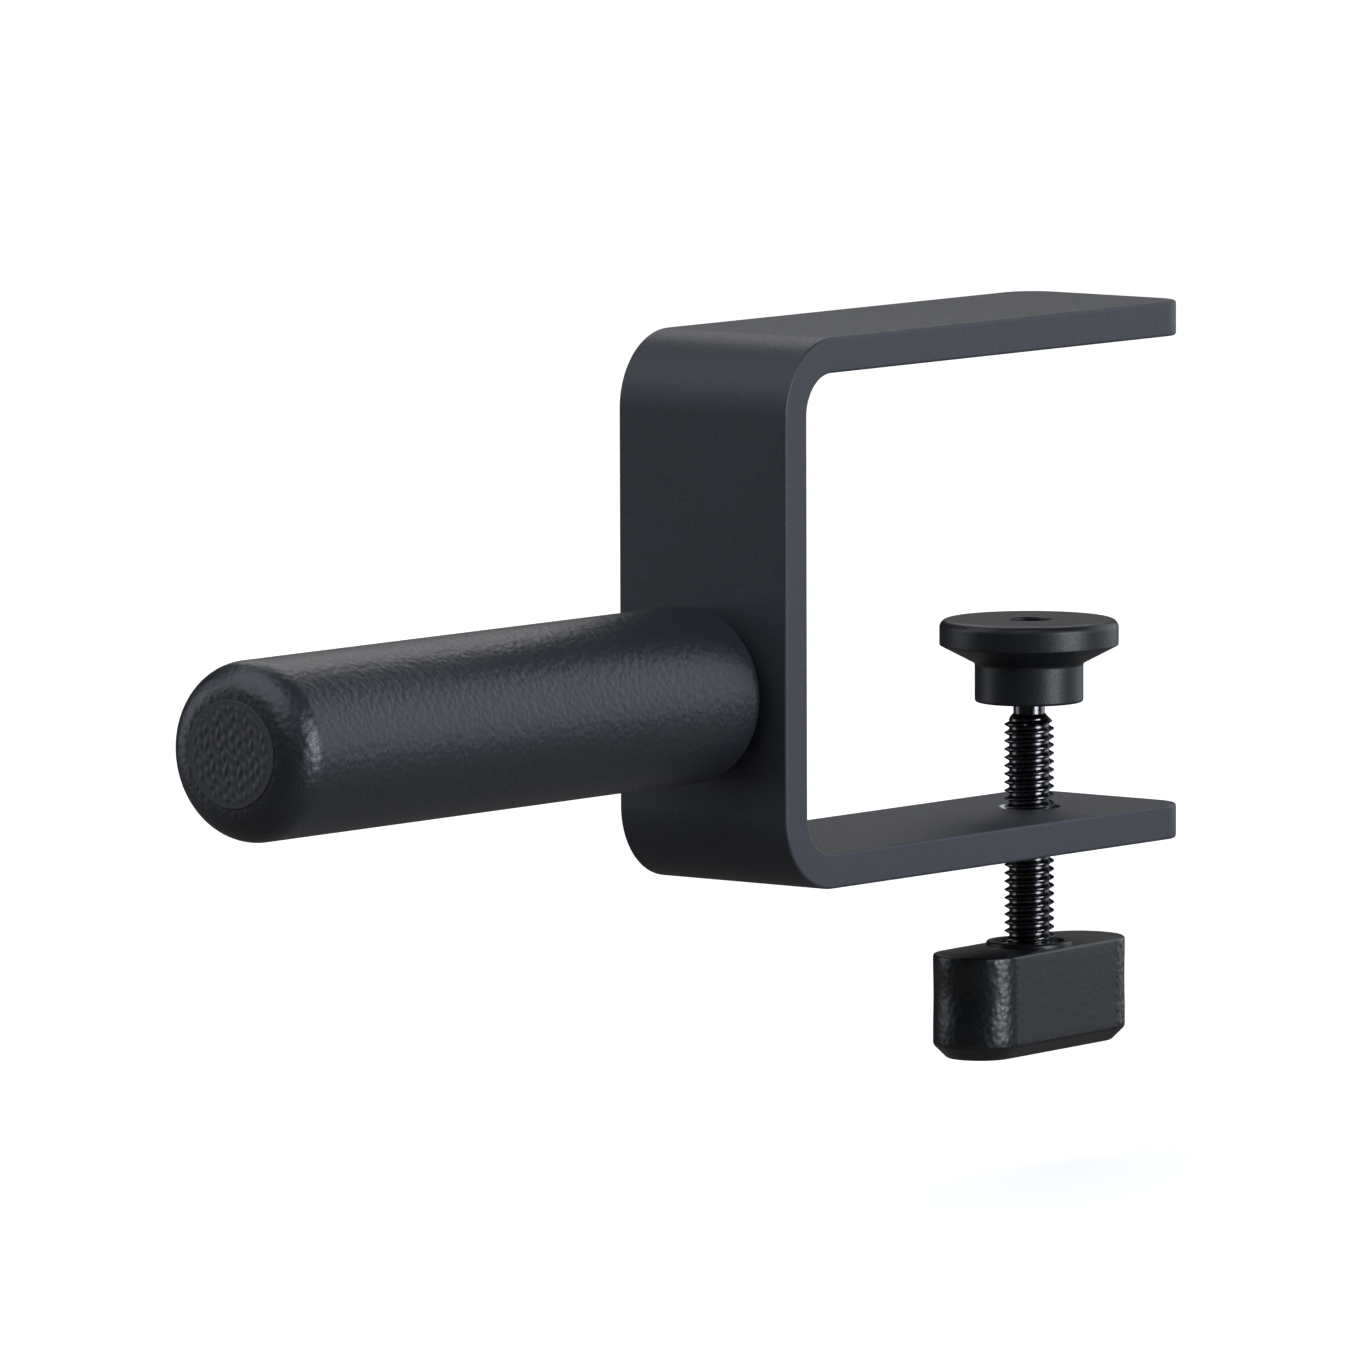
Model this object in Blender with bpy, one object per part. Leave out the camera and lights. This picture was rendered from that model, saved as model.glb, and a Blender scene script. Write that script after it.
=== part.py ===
"""Headphone hook with a desk clamp: a bent steel C, a padded peg and a clamp screw.

The C's upper arm lies on the desk top, the clamp screw presses a pad up against the desk's
underside, and the peg stands out of the C's upright, away from the desk.

Frame, in metres: +X points from the upright towards the desk, +Y runs across the bar's width and
+Z is up. The origin lies on the face that rests on the desk top, on the clamp screw's axis.
"""

import math

import bmesh
import bpy
from mathutils import Matrix, Vector

MM = 0.001

# Driving dimensions, in millimetres.
BAR_WIDTH = 25.0
BAR_THICKNESS = 4.2
BAR_HEIGHT = 65.0
ARM_LENGTH = 79.0
BEND_INNER_RADIUS = 4.8
ARM_CORNER_RADIUS = 4.5
BAR_EDGE_RADIUS = 0.35
SCREW_SETBACK = 63.2

DESK_PAD_LENGTH = 62.0
DESK_PAD_WIDTH = 14.0
DESK_PAD_THICKNESS = 0.5
DESK_PAD_CORNER_RADIUS = 3.0
DESK_PAD_SHIFT = 1.0

PEG_RADIUS = 10.45
PEG_LENGTH = 86.0
PEG_DROP = 41.8
PEG_RIM_RADIUS = 4.1
PEG_BASE_RADIUS = 2.2
PEG_CORE_RADIUS = 7.0
PEG_CORE_CHAMFER = 0.5
PEG_CORE_DRILL_TIP = 1.5
PEG_SLEEVE_END = 5.0
END_DISC_RADIUS = 6.0
END_DISC_DEPTH = 0.8
END_DISC_CHAMFER = 0.2
GASKET_RADIUS = 8.2
GASKET_THICKNESS = 0.6
PEG_SCREW_HEAD_RADIUS = 5.6
PEG_SCREW_LIP = 0.3
PEG_SCREW_RECESS = 0.15
PEG_SCREW_REACH = 17.0
PEG_SCREW_SOCKET = 4.0
PEG_SCREW_SOCKET_DEPTH = 2.4
PEG_HOLE_CLEARANCE = 0.4

SCREW_PITCH = 1.0
SCREW_CREST_RADIUS = 3.0
SCREW_ROOT_RADIUS = 2.42
SCREW_NECK_RADIUS = 1.9
SCREW_NECK_SHOW = 1.4
SCREW_HEAD_RADIUS = 3.3
SCREW_SHANK_RADIUS = 2.6
SCREW_END_CHAMFER = 0.4
SCREW_HEART_RADIUS = SCREW_ROOT_RADIUS - 0.2
BORE_RADIUS = 3.3
BORE_CHAMFER = 0.5

PAD_TOP_Z = -33.2
PAD_RADIUS = 10.8
PAD_EDGE_RADIUS = 1.0
PAD_RIM_HEIGHT = 3.1
PAD_CONE_HEIGHT = 2.2
PAD_HUB_RADIUS = 6.55
PAD_HEIGHT = 10.0
PAD_TOP_HOLE_RADIUS = 2.65
PAD_SOCKET_RADIUS = 3.7
PAD_LIP_RADIUS = 3.1
PAD_ROOF_THICKNESS = 5.4
PAD_LIP_THICKNESS = 0.8
PAD_HUB_CHAMFER = 0.3
WASHER_THICKNESS = 0.6
WASHER_HOLE_RADIUS = 1.3

KNOB_LENGTH = 32.8
KNOB_WIDTH = 11.3
KNOB_TOP_Z = -72.6
KNOB_HEIGHT = 12.6
KNOB_CHAMFER = 1.65
KNOB_TOP_RADIUS = 0.35
KNOB_BOSS_RADIUS = 5.2
KNOB_BOSS_HEIGHT = 0.5
KNOB_BOSS_CHAMFER = 0.15
KNOB_TURN = 4.0
INSERT_RADIUS = 3.9
INSERT_LENGTH = 8.0
INSERT_GROOVE_DEPTH = 0.5
SHANK_SETBACK = 0.5

GAP = 0.3
THIN_GAP = 0.2
# How far a cutter reaches past a surface, and a gap too small to matter.
OVERLAP = 1.0
HAIR = 0.01

# How finely curves are drawn.
BEND_STEPS = 10
HOLE_STEPS = 24
SCREW_STEPS = 18
PEG_STEPS = 32
PAD_STEPS = 36

# Places that follow from the sizes above, in millimetres.
PLATE_OUTER_X = -SCREW_SETBACK
PLATE_INNER_X = PLATE_OUTER_X + BAR_THICKNESS
ARM_END_X = PLATE_OUTER_X + ARM_LENGTH
BAR_TOP_Z = DESK_PAD_THICKNESS + THIN_GAP + BAR_THICKNESS
BAR_BOTTOM_Z = BAR_TOP_Z - BAR_HEIGHT
PEG_Z = BAR_TOP_Z - PEG_DROP
PEG_END_X = PLATE_OUTER_X - PEG_LENGTH
PEG_BASE_X = PLATE_OUTER_X - GASKET_THICKNESS - 2 * THIN_GAP
PAD_BOTTOM_Z = PAD_TOP_Z - PAD_HEIGHT
SOCKET_ROOF_Z = PAD_TOP_Z - PAD_ROOF_THICKNESS
WASHER_TOP_Z = SOCKET_ROOF_Z - GAP
HEAD_TOP_Z = WASHER_TOP_Z - WASHER_THICKNESS - GAP
HEAD_BOTTOM_Z = PAD_BOTTOM_Z + PAD_LIP_THICKNESS + GAP
THREAD_TOP_Z = PAD_BOTTOM_Z - SCREW_NECK_SHOW
BOSS_TOP_Z = KNOB_TOP_Z + KNOB_BOSS_HEIGHT
THREAD_BOTTOM_Z = KNOB_TOP_Z + GAP
INSERT_TOP_Z = KNOB_TOP_Z
INSERT_BOTTOM_Z = INSERT_TOP_Z - INSERT_LENGTH
SHANK_BOTTOM_Z = INSERT_BOTTOM_Z + SHANK_SETBACK


def clear_scene():
    for obj in list(bpy.data.objects):
        bpy.data.objects.remove(obj, do_unlink=True)


def material(name, colour, roughness, metallic=0.0):
    """A plain Principled finish."""
    made = bpy.data.materials.new(name)
    made.use_nodes = True
    shader = made.node_tree.nodes["Principled BSDF"]
    shader.inputs["Base Color"].default_value = (*colour, 1.0)
    shader.inputs["Roughness"].default_value = roughness
    shader.inputs["Metallic"].default_value = metallic
    return made


def add_object(name, bm, finish=None, smooth_angle=35.0):
    """Turns a bmesh in millimetres into a named object in metres, shaded smooth up to an angle."""
    bmesh.ops.scale(bm, vec=(MM, MM, MM), verts=bm.verts)
    bmesh.ops.recalc_face_normals(bm, faces=bm.faces)
    mesh = bpy.data.meshes.new(name)
    bm.to_mesh(mesh)
    bm.free()
    mesh.shade_smooth()
    mesh.set_sharp_from_angle(angle=math.radians(smooth_angle))
    if finish:
        mesh.materials.append(finish)
    obj = bpy.data.objects.new(name, mesh)
    bpy.context.scene.collection.objects.link(obj)
    return obj


def add_helper(name, bm):
    """A solid that only shapes another one."""
    obj = add_object(name, bm)
    obj.hide_render = True
    obj.display_type = "WIRE"
    return obj


def combine(obj, helper, operation):
    modifier = obj.modifiers.new(helper.name, "BOOLEAN")
    modifier.operation = operation
    modifier.solver = "EXACT"
    modifier.object = helper


def arc(centre, radius, start, end, steps):
    """Points along an arc, angles in degrees."""
    turns = [math.radians(start + (end - start) * i / steps) for i in range(steps + 1)]
    return [(centre[0] + radius * math.cos(t), centre[1] + radius * math.sin(t)) for t in turns]


def turned(profile, steps, axis="Z", origin=(0.0, 0.0, 0.0)):
    """A solid turned from (radius, height) points: closed outline, or one that ends on the axis."""
    bm = bmesh.new()
    verts = [bm.verts.new((radius, 0.0, height)) for radius, height in profile]
    edges = [bm.edges.new(pair) for pair in zip(verts, verts[1:])]
    if profile[0][0] > 0.0:
        edges.append(bm.edges.new((verts[-1], verts[0])))
    bmesh.ops.spin(
        bm,
        geom=verts + edges,
        cent=(0.0, 0.0, 0.0),
        axis=(0.0, 0.0, 1.0),
        angle=2.0 * math.pi,
        steps=steps,
        use_merge=True,
    )
    bmesh.ops.remove_doubles(bm, verts=bm.verts, dist=0.001)
    if axis == "X":
        bmesh.ops.rotate(bm, verts=bm.verts, matrix=Matrix.Rotation(math.radians(90.0), 3, "Y"))
    bmesh.ops.translate(bm, verts=bm.verts, vec=origin)
    return bm


def threaded(crest, root, low, high, steps):
    """A right-hand threaded rod along Z, cut flat at both ends."""
    bm = bmesh.new()
    turns = math.ceil(high - low) / SCREW_PITCH + 2
    start = low - SCREW_PITCH
    heights = (start - SCREW_PITCH / 2, start, start + SCREW_PITCH / 2)
    verts = [bm.verts.new((r, 0.0, z)) for r, z in zip((root, crest, root), heights)]
    edges = [bm.edges.new(pair) for pair in zip(verts, verts[1:])]
    bmesh.ops.spin(
        bm,
        geom=verts + edges,
        cent=(0.0, 0.0, 0.0),
        axis=(0.0, 0.0, 1.0),
        dvec=(0.0, 0.0, SCREW_PITCH / steps),
        angle=2.0 * math.pi * turns,
        steps=int(turns * steps),
    )
    bmesh.ops.remove_doubles(bm, verts=bm.verts, dist=0.001)
    for height, upwards in ((low, -1.0), (high, 1.0)):
        bmesh.ops.bisect_plane(
            bm,
            geom=bm.verts[:] + bm.edges[:] + bm.faces[:],
            dist=1e-5,
            plane_co=(0.0, 0.0, height),
            plane_no=(0.0, 0.0, upwards),
            clear_outer=True,
        )
        rim = [e for e in bm.edges if e.is_boundary and abs(e.verts[0].co.z - height) < 1e-3]
        rim = [e for e in rim if abs(e.verts[1].co.z - height) < 1e-3]
        bmesh.ops.contextual_create(bm, geom=rim)
    return bm


def sharp_edges(bm, angle):
    """Edges whose two faces meet at more than the angle, in degrees."""
    limit = math.radians(angle)
    return [e for e in bm.edges if e.is_manifold and e.calc_face_angle() > limit]


def bevel(bm, edges, size, segments):
    bmesh.ops.bevel(
        bm,
        geom=edges,
        offset=size,
        offset_type="OFFSET",
        segments=segments,
        profile=0.5,
        affect="EDGES",
        clamp_overlap=True,
        material=-1,
    )


def block(size, centre):
    """A cuboid from its three sizes and its centre."""
    bm = bmesh.new()
    bmesh.ops.create_cube(bm, size=1.0)
    bmesh.ops.scale(bm, vec=size, verts=bm.verts)
    bmesh.ops.translate(bm, verts=bm.verts, vec=centre)
    return bm


def upright_edges(bm):
    return [e for e in bm.edges if abs((e.verts[0].co - e.verts[1].co).normalized().z) > 0.999]


def bent_bar():
    """The flat bar: drawn straight from the lower arm's tip, bent twice, drawn to the upper tip."""
    bm = bmesh.new()
    tip = [
        bm.verts.new((ARM_END_X, y, z))
        for y, z in (
            (-BAR_WIDTH / 2, BAR_BOTTOM_Z),
            (BAR_WIDTH / 2, BAR_BOTTOM_Z),
            (BAR_WIDTH / 2, BAR_BOTTOM_Z + BAR_THICKNESS),
            (-BAR_WIDTH / 2, BAR_BOTTOM_Z + BAR_THICKNESS),
        )
    ]
    front = bm.faces.new(tip)
    outer_bend = BEND_INNER_RADIUS + BAR_THICKNESS
    straight_arm = ARM_LENGTH - outer_bend
    straight_plate = BAR_HEIGHT - 2 * outer_bend
    bend_x = PLATE_OUTER_X + outer_bend
    for length, direction, bend_z in (
        (straight_arm, Vector((-1.0, 0.0, 0.0)), BAR_BOTTOM_Z + outer_bend),
        (straight_plate, Vector((0.0, 0.0, 1.0)), BAR_TOP_Z - outer_bend),
    ):
        front = draw(bm, front, direction * length)
        front = bend(bm, front, (bend_x, 0.0, bend_z))
    draw(bm, front, Vector((straight_arm, 0.0, 0.0)))
    inner = [f for f in bm.faces if all(len(e.link_faces) > 2 for e in f.edges)]
    bmesh.ops.delete(bm, geom=inner, context="FACES_ONLY")
    bmesh.ops.recalc_face_normals(bm, faces=bm.faces)
    return bm


def draw(bm, face, path):
    """Pulls an end face along a straight stretch and returns the new end face."""
    made = bmesh.ops.extrude_face_region(bm, geom=[face])["geom"]
    verts = [v for v in made if isinstance(v, bmesh.types.BMVert)]
    bmesh.ops.translate(bm, verts=verts, vec=path)
    return next(f for f in made if isinstance(f, bmesh.types.BMFace))


def bend(bm, face, centre):
    """Turns an end face through a right angle about an axis along Y and returns the new end."""
    made = bmesh.ops.spin(
        bm,
        geom=[face],
        cent=centre,
        axis=(0.0, 1.0, 0.0),
        angle=math.pi / 2,
        steps=BEND_STEPS,
    )["geom_last"]
    return next(f for f in made if isinstance(f, bmesh.types.BMFace))


def make_bracket(finish):
    """The bent bar, with a bore in its lower arm and a countersunk hole in its upright."""
    bm = bent_bar()
    tips = [e for e in upright_edges(bm) if min(v.co.x for v in e.verts) > ARM_END_X - 0.1]
    bevel(bm, tips, ARM_CORNER_RADIUS, 6)
    bevel(bm, sharp_edges(bm, 40.0), BAR_EDGE_RADIUS, 2)
    bracket = add_object("c_bracket", bm, finish)

    lower_top_z = BAR_BOTTOM_Z + BAR_THICKNESS
    mouth_radius = BORE_RADIUS + BORE_CHAMFER + OVERLAP
    bore = turned(
        [
            (0.0, BAR_BOTTOM_Z - OVERLAP),
            (mouth_radius, BAR_BOTTOM_Z - OVERLAP),
            (BORE_RADIUS, BAR_BOTTOM_Z + BORE_CHAMFER),
            (BORE_RADIUS, lower_top_z - BORE_CHAMFER),
            (mouth_radius, lower_top_z + OVERLAP),
            (0.0, lower_top_z + OVERLAP),
        ],
        HOLE_STEPS,
    )
    combine(bracket, add_helper("bracket_bore_cutter", bore), "DIFFERENCE")

    sink = PEG_SCREW_HEAD_RADIUS + PEG_SCREW_LIP + PEG_SCREW_RECESS + GAP * math.sqrt(2.0)
    hole_radius = SCREW_CREST_RADIUS + PEG_HOLE_CLEARANCE
    hole = turned(
        [
            (0.0, -OVERLAP),
            (hole_radius, -OVERLAP),
            (hole_radius, BAR_THICKNESS - sink + hole_radius),
            (sink + OVERLAP, BAR_THICKNESS + OVERLAP),
            (0.0, BAR_THICKNESS + OVERLAP),
        ],
        HOLE_STEPS,
        "X",
        (PLATE_OUTER_X, 0.0, PEG_Z),
    )
    combine(bracket, add_helper("bracket_peg_hole_cutter", hole), "DIFFERENCE")


def make_desk_pad(finish):
    """A thin strip that the upper arm rests on."""
    middle_x = (PLATE_INNER_X + ARM_END_X) / 2 + DESK_PAD_SHIFT
    centre = (middle_x, 0.0, DESK_PAD_THICKNESS / 2)
    bm = block((DESK_PAD_LENGTH, DESK_PAD_WIDTH, DESK_PAD_THICKNESS), centre)
    bevel(bm, upright_edges(bm), DESK_PAD_CORNER_RADIUS, 5)
    add_object("desk_pad", bm, finish)


def make_peg_core(finish):
    """A solid rod with a blind hole in its base end for the peg's screw."""
    length = PEG_BASE_X - PEG_END_X - PEG_SLEEVE_END
    hole_radius = SCREW_CREST_RADIUS + GAP
    hole_depth = PEG_SCREW_REACH - BAR_THICKNESS
    bm = turned(
        [
            (hole_radius, 0.0),
            (hole_radius, -hole_depth),
            (0.0, -hole_depth - PEG_CORE_DRILL_TIP),
            (0.0, -length),
            (PEG_CORE_RADIUS - PEG_CORE_CHAMFER, -length),
            (PEG_CORE_RADIUS, -length + PEG_CORE_CHAMFER),
            (PEG_CORE_RADIUS, -PEG_CORE_CHAMFER),
            (PEG_CORE_RADIUS - PEG_CORE_CHAMFER, 0.0),
        ],
        HOLE_STEPS,
        "X",
        (PEG_BASE_X, 0.0, PEG_Z),
    )
    add_object("peg_core", bm, finish)


def make_peg_sleeve(finish):
    """The peg's soft cover: a tube closed at the front, with a recess there for the end disc."""
    length = PEG_BASE_X - PEG_END_X
    inner = PEG_CORE_RADIUS + GAP
    recess = END_DISC_RADIUS + GAP
    rim = (PEG_RADIUS - PEG_RIM_RADIUS, -length + PEG_RIM_RADIUS)
    base = (PEG_RADIUS - PEG_BASE_RADIUS, -PEG_BASE_RADIUS)
    bm = turned(
        [
            (0.0, -length + PEG_SLEEVE_END - GAP),
            (inner, -length + PEG_SLEEVE_END - GAP),
            (inner, 0.0),
            *arc(base, PEG_BASE_RADIUS, 90.0, 0.0, 4),
            *arc(rim, PEG_RIM_RADIUS, 0.0, -90.0, 6),
            (recess, -length),
            (recess, -length + END_DISC_DEPTH + GAP),
            (0.0, -length + END_DISC_DEPTH + GAP),
        ],
        PEG_STEPS,
        "X",
        (PEG_BASE_X, 0.0, PEG_Z),
    )
    add_object("peg_sleeve", bm, finish)


def make_peg_end_disc(finish):
    """The badge in the sleeve's end, a plain disc with a chamfered edge."""
    bm = turned(
        [
            (0.0, 0.0),
            (END_DISC_RADIUS, 0.0),
            (END_DISC_RADIUS, -END_DISC_DEPTH + END_DISC_CHAMFER),
            (END_DISC_RADIUS - END_DISC_CHAMFER, -END_DISC_DEPTH),
            (0.0, -END_DISC_DEPTH),
        ],
        PEG_STEPS,
        "X",
        (PEG_END_X + END_DISC_DEPTH, 0.0, PEG_Z),
    )
    add_object("peg_end_disc", bm, finish)


def make_peg_gasket(finish):
    """A flat washer between the peg and the bar."""
    hole = SCREW_CREST_RADIUS + GAP
    bm = turned(
        [
            (hole, 0.0),
            (GASKET_RADIUS, 0.0),
            (GASKET_RADIUS, -GASKET_THICKNESS),
            (hole, -GASKET_THICKNESS),
        ],
        HOLE_STEPS,
        "X",
        (PLATE_OUTER_X - THIN_GAP, 0.0, PEG_Z),
    )
    add_object("peg_gasket", bm, finish)


def make_peg_screw(finish):
    """A countersunk socket screw, its head in the bar's inner face and its thread in the core."""
    top_x = PLATE_INNER_X - PEG_SCREW_RECESS
    neck_depth = PEG_SCREW_LIP + PEG_SCREW_HEAD_RADIUS - SCREW_CREST_RADIUS
    thread_end = -neck_depth - SCREW_PITCH / 2
    bm = threaded(SCREW_CREST_RADIUS, SCREW_ROOT_RADIUS, -PEG_SCREW_REACH, thread_end, 14)
    bmesh.ops.rotate(bm, verts=bm.verts, matrix=Matrix.Rotation(math.radians(90.0), 3, "Y"))
    bmesh.ops.translate(bm, verts=bm.verts, vec=(top_x, 0.0, PEG_Z))
    screw = add_object("peg_screw", bm, finish)

    head = turned(
        [
            (0.0, -neck_depth - 2 * SCREW_PITCH),
            (SCREW_HEART_RADIUS, -neck_depth - 2 * SCREW_PITCH),
            (SCREW_CREST_RADIUS, -neck_depth),
            (PEG_SCREW_HEAD_RADIUS, -PEG_SCREW_LIP),
            (PEG_SCREW_HEAD_RADIUS, 0.0),
            (0.0, 0.0),
        ],
        HOLE_STEPS,
        "X",
        (top_x, 0.0, PEG_Z),
    )
    combine(screw, add_helper("peg_screw_head", head), "UNION")
    corner = PEG_SCREW_SOCKET / math.sqrt(3.0)
    socket = turned(
        [
            (0.0, -PEG_SCREW_SOCKET_DEPTH),
            (corner, -PEG_SCREW_SOCKET_DEPTH),
            (corner, OVERLAP),
            (0.0, OVERLAP),
        ],
        6,
        "X",
        (top_x, 0.0, PEG_Z),
    )
    combine(screw, add_helper("peg_screw_socket", socket), "DIFFERENCE")


def make_clamp_screw(finish):
    """The threaded rod: plain end for the knob, thread, neck and the head that carries the pad."""
    thread_end_z = THREAD_TOP_Z - GAP
    bm = threaded(
        SCREW_CREST_RADIUS, SCREW_ROOT_RADIUS, THREAD_BOTTOM_Z, thread_end_z, SCREW_STEPS
    )
    screw = add_object("clamp_screw", bm, finish)

    taper_bottom_z = THREAD_BOTTOM_Z - OVERLAP
    taper_radius = SCREW_CREST_RADIUS + OVERLAP
    taper = turned(
        [
            (0.0, taper_bottom_z),
            (taper_radius, taper_bottom_z),
            (taper_radius, THREAD_TOP_Z - (taper_radius - SCREW_NECK_RADIUS)),
            (SCREW_NECK_RADIUS, THREAD_TOP_Z),
            (0.0, THREAD_TOP_Z),
        ],
        SCREW_STEPS,
    )
    combine(screw, add_helper("clamp_screw_taper", taper), "INTERSECT")

    shank_top_z = THREAD_BOTTOM_Z - THIN_GAP
    heart_top_z = THREAD_TOP_Z - OVERLAP
    core = turned(
        [
            (0.0, SHANK_BOTTOM_Z),
            (SCREW_SHANK_RADIUS - SCREW_END_CHAMFER, SHANK_BOTTOM_Z),
            (SCREW_SHANK_RADIUS, SHANK_BOTTOM_Z + SCREW_END_CHAMFER),
            (SCREW_SHANK_RADIUS, shank_top_z),
            (SCREW_HEART_RADIUS, shank_top_z),
            (SCREW_HEART_RADIUS, heart_top_z),
            (SCREW_NECK_RADIUS, heart_top_z),
            (SCREW_NECK_RADIUS, HEAD_BOTTOM_Z),
            (SCREW_HEAD_RADIUS, HEAD_BOTTOM_Z),
            (SCREW_HEAD_RADIUS, HEAD_TOP_Z - SCREW_END_CHAMFER),
            (SCREW_HEAD_RADIUS - SCREW_END_CHAMFER, HEAD_TOP_Z),
            (0.0, HEAD_TOP_Z),
        ],
        SCREW_STEPS,
    )
    combine(screw, add_helper("clamp_screw_core", core), "UNION")


def make_pressure_pad(finish):
    """The pad: a flange that presses on the desk, a cone, and a hub with the screw head's socket."""
    rim_centre = (PAD_RADIUS - PAD_EDGE_RADIUS, PAD_TOP_Z - PAD_EDGE_RADIUS)
    rim_bottom_z = PAD_TOP_Z - PAD_RIM_HEIGHT
    bm = turned(
        [
            (PAD_TOP_HOLE_RADIUS, SOCKET_ROOF_Z),
            (PAD_TOP_HOLE_RADIUS, PAD_TOP_Z - PAD_HUB_CHAMFER),
            (PAD_TOP_HOLE_RADIUS + PAD_HUB_CHAMFER, PAD_TOP_Z),
            *arc(rim_centre, PAD_EDGE_RADIUS, 90.0, 0.0, 4),
            (PAD_RADIUS, rim_bottom_z),
            (PAD_HUB_RADIUS, rim_bottom_z - PAD_CONE_HEIGHT),
            (PAD_HUB_RADIUS, PAD_BOTTOM_Z + PAD_HUB_CHAMFER),
            (PAD_HUB_RADIUS - PAD_HUB_CHAMFER, PAD_BOTTOM_Z),
            (PAD_LIP_RADIUS, PAD_BOTTOM_Z),
            (PAD_LIP_RADIUS, PAD_BOTTOM_Z + PAD_LIP_THICKNESS),
            (PAD_SOCKET_RADIUS, PAD_BOTTOM_Z + PAD_LIP_THICKNESS),
            (PAD_SOCKET_RADIUS, SOCKET_ROOF_Z),
        ],
        PAD_STEPS,
    )
    add_object("pressure_pad", bm, finish)


def make_thrust_washer(finish):
    """The washer that the screw's head turns against, under the roof of the pad's socket."""
    bottom_z = WASHER_TOP_Z - WASHER_THICKNESS
    bm = turned(
        [
            (WASHER_HOLE_RADIUS, WASHER_TOP_Z),
            (SCREW_HEAD_RADIUS, WASHER_TOP_Z),
            (SCREW_HEAD_RADIUS, bottom_z),
            (WASHER_HOLE_RADIUS, bottom_z),
        ],
        HOLE_STEPS,
    )
    add_object("thrust_washer", bm, finish)


def make_knob(finish):
    """The oblong grip: round ends, chamfered lower edge, a low boss and a socket for the bush."""
    bm = block((KNOB_LENGTH, KNOB_WIDTH, KNOB_HEIGHT), (0.0, 0.0, KNOB_TOP_Z - KNOB_HEIGHT / 2))
    bevel(bm, upright_edges(bm), KNOB_WIDTH / 2 - HAIR, 8)
    # The hair of flat left at each end would hold the next bevels back.
    bmesh.ops.remove_doubles(bm, verts=bm.verts, dist=3 * HAIR)
    middle_z = KNOB_TOP_Z - KNOB_HEIGHT / 2
    bottom = [e for e in sharp_edges(bm, 60.0) if e.verts[0].co.z < middle_z]
    bevel(bm, bottom, KNOB_CHAMFER, 1)
    top = [e for e in sharp_edges(bm, 60.0) if e.verts[0].co.z > middle_z]
    bevel(bm, top, KNOB_TOP_RADIUS, 2)
    bmesh.ops.rotate(bm, verts=bm.verts, matrix=Matrix.Rotation(math.radians(KNOB_TURN), 3, "Z"))
    knob = add_object("knob", bm, finish)

    boss = turned(
        [
            (0.0, KNOB_TOP_Z - OVERLAP),
            (KNOB_BOSS_RADIUS, KNOB_TOP_Z - OVERLAP),
            (KNOB_BOSS_RADIUS, BOSS_TOP_Z - KNOB_BOSS_CHAMFER),
            (KNOB_BOSS_RADIUS - KNOB_BOSS_CHAMFER, BOSS_TOP_Z),
            (0.0, BOSS_TOP_Z),
        ],
        PEG_STEPS,
    )
    combine(knob, add_helper("knob_boss", boss), "UNION")
    socket_radius = INSERT_RADIUS + GAP
    socket = turned(
        [
            (0.0, INSERT_BOTTOM_Z - GAP),
            (socket_radius, INSERT_BOTTOM_Z - GAP),
            (socket_radius, BOSS_TOP_Z + OVERLAP),
            (0.0, BOSS_TOP_Z + OVERLAP),
        ],
        HOLE_STEPS,
    )
    combine(knob, add_helper("knob_socket_cutter", socket), "DIFFERENCE")


def make_knob_insert(finish):
    """The steel bush in the knob, with a groove that the moulding grips."""
    bore = SCREW_SHANK_RADIUS + GAP
    groove = INSERT_RADIUS - INSERT_GROOVE_DEPTH
    middle_z = (INSERT_TOP_Z + INSERT_BOTTOM_Z) / 2
    bm = turned(
        [
            (bore, INSERT_TOP_Z),
            (INSERT_RADIUS, INSERT_TOP_Z),
            (INSERT_RADIUS, middle_z + 2 * INSERT_GROOVE_DEPTH),
            (groove, middle_z + INSERT_GROOVE_DEPTH),
            (groove, middle_z - INSERT_GROOVE_DEPTH),
            (INSERT_RADIUS, middle_z - 2 * INSERT_GROOVE_DEPTH),
            (INSERT_RADIUS, INSERT_BOTTOM_Z),
            (bore, INSERT_BOTTOM_Z),
        ],
        HOLE_STEPS,
    )
    add_object("knob_insert", bm, finish)


def main():
    clear_scene()
    coated_steel = material("coated_steel", (0.045, 0.048, 0.058), 0.45)
    sleeve_rubber = material("sleeve_rubber", (0.020, 0.022, 0.026), 0.50)
    pad_plastic = material("pad_plastic", (0.016, 0.018, 0.022), 0.42)
    knob_plastic = material("knob_plastic", (0.016, 0.018, 0.021), 0.50)
    black_steel = material("black_steel", (0.030, 0.030, 0.032), 0.32, 1.0)
    bright_steel = material("bright_steel", (0.55, 0.55, 0.56), 0.30, 1.0)
    core_aluminium = material("core_aluminium", (0.70, 0.70, 0.72), 0.35, 1.0)
    grip_rubber = material("grip_rubber", (0.025, 0.025, 0.027), 0.80)

    make_bracket(coated_steel)
    make_desk_pad(grip_rubber)
    make_peg_core(core_aluminium)
    make_peg_sleeve(sleeve_rubber)
    make_peg_end_disc(sleeve_rubber)
    make_peg_gasket(grip_rubber)
    make_peg_screw(black_steel)
    make_clamp_screw(black_steel)
    make_thrust_washer(bright_steel)
    make_pressure_pad(pad_plastic)
    make_knob(knob_plastic)
    make_knob_insert(bright_steel)


if __name__ == "__main__":
    main()
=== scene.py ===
"""Headphone hook with a desk clamp: the looks of each piece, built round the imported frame.

The bent steel bar hooks over a desk's edge and a clamp screw with a swivelling pad holds it there.
A rubber-covered peg stands out of the bar's upright and carries the headphones.

Lengths are in metres. +X points from the upright to the desk, +Y runs across the bar, +Z is up.
"""

import math

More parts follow.
